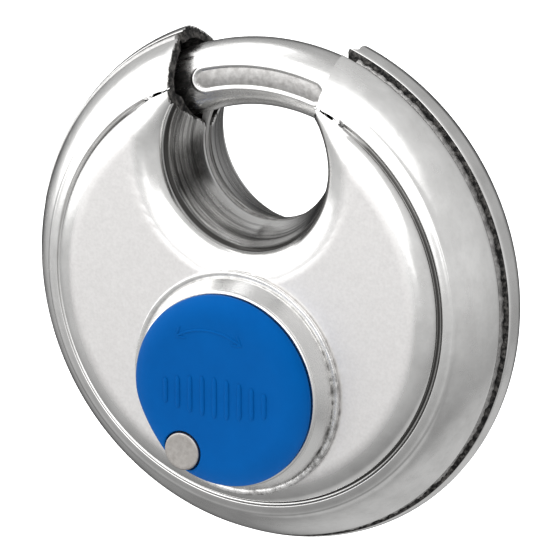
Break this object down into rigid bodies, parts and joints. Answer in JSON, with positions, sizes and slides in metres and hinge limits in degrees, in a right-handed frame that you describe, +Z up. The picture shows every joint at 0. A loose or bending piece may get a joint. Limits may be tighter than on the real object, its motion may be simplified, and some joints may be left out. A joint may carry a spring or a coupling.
{
  "type": "disc padlock",
  "caption": "Round disc padlock in polished steel. A curved bar turns round inside the rim to close the notch, and a blue plastic cover swings aside over the keyway.",
  "frame": {"origin": "centreline of the shackle bar at the top of its bow, where the closed lock hangs", "axes": "+Z up along the bow, +Y from the front face to the rear face along the disc's axis, +X to the right seen from the front"},
  "size_m": [0.06, 0.0222, 0.0583],
  "materials": {
    "polished_steel": "polished stainless steel, satin on the flat faces",
    "weld_steel": "rough ground weld",
    "cast_zinc": "rough die-cast zinc",
    "hardened_steel": "ground hardened steel",
    "rivet_steel": "satin steel",
    "brass": "turned brass",
    "spring_steel": "drawn wire",
    "cover_plastic": "satin moulded blue plastic"
  },
  "bodies": {
    "lock_body": {"front_shell": "polished_steel", "rear_shell": "polished_steel", "weld_bead": "weld_steel", "inner_core": "cast_zinc", "cylinder_collar": "polished_steel", "cylinder_housing": "brass", "spring_cover": "brass", "cover_rivet": "rivet_steel", "pin_spring_1": "spring_steel", "pin_spring_2": "spring_steel", "pin_spring_3": "spring_steel", "pin_spring_4": "spring_steel"},
    "sliding_shackle": {"shackle": "polished_steel", "drive_plate": "hardened_steel", "plate_rivet_1": "hardened_steel", "plate_rivet_2": "hardened_steel"},
    "lock_plug": {"plug": "brass", "anti_drill_disc": "hardened_steel", "crank_disc": "hardened_steel", "drive_pin": "hardened_steel", "tail_clip": "spring_steel"},
    "swing_cover": {"key_cover": "cover_plastic"},
    "key_pin_body_1": {"key_pin_1": "brass"},
    "driver_pin_body_1": {"driver_pin_1": "hardened_steel"},
    "key_pin_body_2": {"key_pin_2": "brass"},
    "driver_pin_body_2": {"driver_pin_2": "hardened_steel"},
    "key_pin_body_3": {"key_pin_3": "brass"},
    "driver_pin_body_3": {"driver_pin_3": "hardened_steel"},
    "key_pin_body_4": {"key_pin_4": "brass"},
    "driver_pin_body_4": {"driver_pin_4": "hardened_steel"}
  },
  "joints": [
    {"name": "plug_turn", "type": "hinge", "parent": "lock_body", "child": "lock_plug", "pos_m": [0, 0, -0.03356], "axis": [0, 1, 0], "range_deg": [0, 120]},
    {"name": "shackle_turn", "type": "hinge", "parent": "lock_body", "child": "sliding_shackle", "pos_m": [0, 0, -0.0239], "axis": [0, 1, 0], "range_deg": [0, 53]},
    {"name": "cover_swing", "type": "hinge", "parent": "lock_body", "child": "swing_cover", "pos_m": [-0.00422, 0, -0.04074], "axis": [0, 1, 0], "range_deg": [-130, 130]},
    {"name": "key_pin_drop_1", "type": "slide", "parent": "lock_plug", "child": "key_pin_body_1", "axis": [0, 0, 1], "range_m": [-0.0009, 0]},
    {"name": "driver_lift_1", "type": "slide", "parent": "lock_body", "child": "driver_pin_body_1", "axis": [0, 0, 1], "range_m": [0, 0.0008], "stiffness_N_per_m": 150, "springref_m": -0.002, "deforming": ["pin_spring_1"]},
    {"name": "key_pin_drop_2", "type": "slide", "parent": "lock_plug", "child": "key_pin_body_2", "axis": [0, 0, 1], "range_m": [-0.0009, 0]},
    {"name": "driver_lift_2", "type": "slide", "parent": "lock_body", "child": "driver_pin_body_2", "axis": [0, 0, 1], "range_m": [0, 0.0008], "stiffness_N_per_m": 150, "springref_m": -0.002, "deforming": ["pin_spring_2"]},
    {"name": "key_pin_drop_3", "type": "slide", "parent": "lock_plug", "child": "key_pin_body_3", "axis": [0, 0, 1], "range_m": [-0.0009, 0]},
    {"name": "driver_lift_3", "type": "slide", "parent": "lock_body", "child": "driver_pin_body_3", "axis": [0, 0, 1], "range_m": [0, 0.0008], "stiffness_N_per_m": 150, "springref_m": -0.002, "deforming": ["pin_spring_3"]},
    {"name": "key_pin_drop_4", "type": "slide", "parent": "lock_plug", "child": "key_pin_body_4", "axis": [0, 0, 1], "range_m": [-0.0009, 0]},
    {"name": "driver_lift_4", "type": "slide", "parent": "lock_body", "child": "driver_pin_body_4", "axis": [0, 0, 1], "range_m": [0, 0.0008], "stiffness_N_per_m": 150, "springref_m": -0.002, "deforming": ["pin_spring_4"]}
  ],
  "couplings": [
    {"joint": "shackle_turn", "follows": "plug_turn", "ratio": 0.44137}
  ]
}
